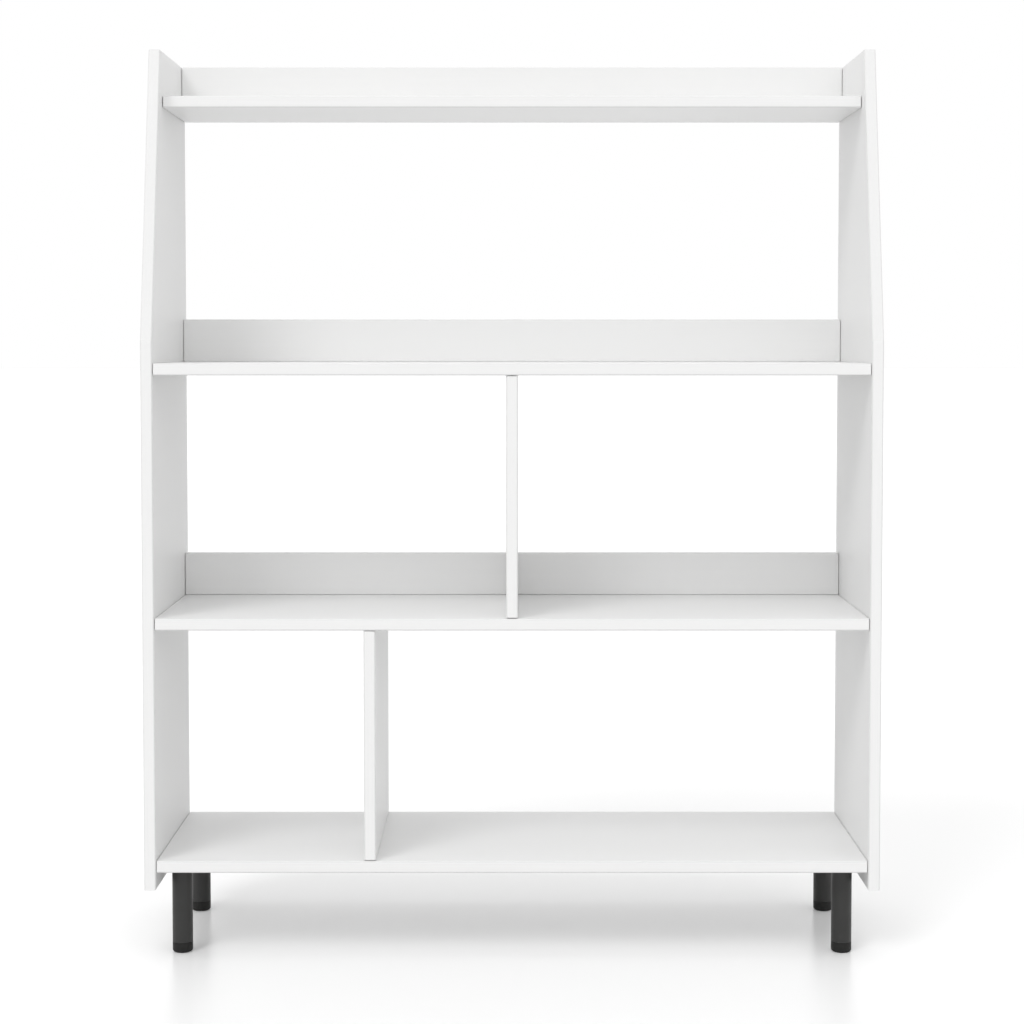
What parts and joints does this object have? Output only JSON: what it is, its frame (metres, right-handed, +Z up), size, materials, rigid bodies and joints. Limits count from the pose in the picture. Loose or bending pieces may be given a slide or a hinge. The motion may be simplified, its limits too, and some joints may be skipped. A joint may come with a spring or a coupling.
{
  "type": "bookcase",
  "caption": "White board bookcase with sloping side fronts, a shallow top shelf, upright dividers, back rails, and round black steel legs on levelling feet.",
  "frame": {"origin": "on the floor, midway between the side panels and midway from front to back", "axes": "+Z up, -Y to the front, +X to the right of someone in front of it"},
  "size_m": [1, 0.3, 1.243],
  "materials": {
    "white_board": "matt white melamine on chipboard, with matching edge bands",
    "black_steel": "fine matt black powder coat",
    "black_plastic": "moulded, lightly grained",
    "zinc_steel": "bright zinc plate",
    "beech_dowel": "turned beech"
  },
  "bodies": {
    "case": {"left_side_panel": "white_board", "right_side_panel": "white_board", "bottom_shelf": "white_board", "lower_shelf": "white_board", "middle_shelf": "white_board", "top_shelf": "white_board", "top_back_rail": "white_board", "middle_back_rail": "white_board", "lower_back_rail": "white_board", "upper_divider": "white_board", "lower_divider": "white_board", "bottom_shelf_screw_left_front": "zinc_steel", "bottom_shelf_screw_left_back": "zinc_steel", "bottom_shelf_screw_right_front": "zinc_steel", "bottom_shelf_screw_right_back": "zinc_steel", "lower_shelf_screw_left_front": "zinc_steel", "lower_shelf_screw_left_back": "zinc_steel", "lower_shelf_screw_right_front": "zinc_steel", "lower_shelf_screw_right_back": "zinc_steel", "middle_shelf_screw_left_front": "zinc_steel", "middle_shelf_screw_left_back": "zinc_steel", "middle_shelf_screw_right_front": "zinc_steel", "middle_shelf_screw_right_back": "zinc_steel", "top_shelf_screw_left_front": "zinc_steel", "top_shelf_screw_left_back": "zinc_steel", "top_shelf_screw_right_front": "zinc_steel", "top_shelf_screw_right_back": "zinc_steel", "lower_rail_screw_left": "zinc_steel", "lower_rail_screw_right": "zinc_steel", "middle_rail_screw_left": "zinc_steel", "middle_rail_screw_right": "zinc_steel", "top_rail_screw_left": "zinc_steel", "top_rail_screw_right": "zinc_steel", "upper_divider_screw_front": "zinc_steel", "upper_divider_screw_back": "zinc_steel", "lower_divider_screw_front": "zinc_steel", "lower_divider_screw_back": "zinc_steel", "upper_divider_dowel": "beech_dowel", "lower_divider_dowel": "beech_dowel", "front_left_leg": "black_steel", "front_left_leg_insert": "zinc_steel", "front_left_leg_plug": "black_plastic", "front_right_leg": "black_steel", "front_right_leg_insert": "zinc_steel", "front_right_leg_plug": "black_plastic", "back_left_leg": "black_steel", "back_left_leg_insert": "zinc_steel", "back_left_leg_plug": "black_plastic", "back_right_leg": "black_steel", "back_right_leg_insert": "zinc_steel", "back_right_leg_plug": "black_plastic"},
    "front_left_stud": {"front_left_foot_stud": "zinc_steel"},
    "front_left_foot": {"front_left_foot_pad": "black_plastic"},
    "front_right_stud": {"front_right_foot_stud": "zinc_steel"},
    "front_right_foot": {"front_right_foot_pad": "black_plastic"},
    "back_left_stud": {"back_left_foot_stud": "zinc_steel"},
    "back_left_foot": {"back_left_foot_pad": "black_plastic"},
    "back_right_stud": {"back_right_foot_stud": "zinc_steel"},
    "back_right_foot": {"back_right_foot_pad": "black_plastic"}
  },
  "joints": [
    {"name": "front_left_stud_travel", "type": "slide", "parent": "case", "child": "front_left_stud", "axis": [0, 0, -1], "range_m": [0, 0.01]},
    {"name": "front_left_foot_turn", "type": "hinge", "parent": "front_left_stud", "child": "front_left_foot", "pos_m": [-0.455, -0.105, 0], "axis": [0, 0, -1], "range_deg": [0, 2880]},
    {"name": "front_right_stud_travel", "type": "slide", "parent": "case", "child": "front_right_stud", "axis": [0, 0, -1], "range_m": [0, 0.01]},
    {"name": "front_right_foot_turn", "type": "hinge", "parent": "front_right_stud", "child": "front_right_foot", "pos_m": [0.455, -0.105, 0], "axis": [0, 0, -1], "range_deg": [0, 2880]},
    {"name": "back_left_stud_travel", "type": "slide", "parent": "case", "child": "back_left_stud", "axis": [0, 0, -1], "range_m": [0, 0.01]},
    {"name": "back_left_foot_turn", "type": "hinge", "parent": "back_left_stud", "child": "back_left_foot", "pos_m": [-0.461, 0.105, 0], "axis": [0, 0, -1], "range_deg": [0, 2880]},
    {"name": "back_right_stud_travel", "type": "slide", "parent": "case", "child": "back_right_stud", "axis": [0, 0, -1], "range_m": [0, 0.01]},
    {"name": "back_right_foot_turn", "type": "hinge", "parent": "back_right_stud", "child": "back_right_foot", "pos_m": [0.461, 0.105, 0], "axis": [0, 0, -1], "range_deg": [0, 2880]}
  ],
  "couplings": [
    {"joint": "front_left_stud_travel", "follows": "front_left_foot_turn", "m_per_rad": 0.00019894},
    {"joint": "front_right_stud_travel", "follows": "front_right_foot_turn", "m_per_rad": 0.00019894},
    {"joint": "back_left_stud_travel", "follows": "back_left_foot_turn", "m_per_rad": 0.00019894},
    {"joint": "back_right_stud_travel", "follows": "back_right_foot_turn", "m_per_rad": 0.00019894}
  ]
}
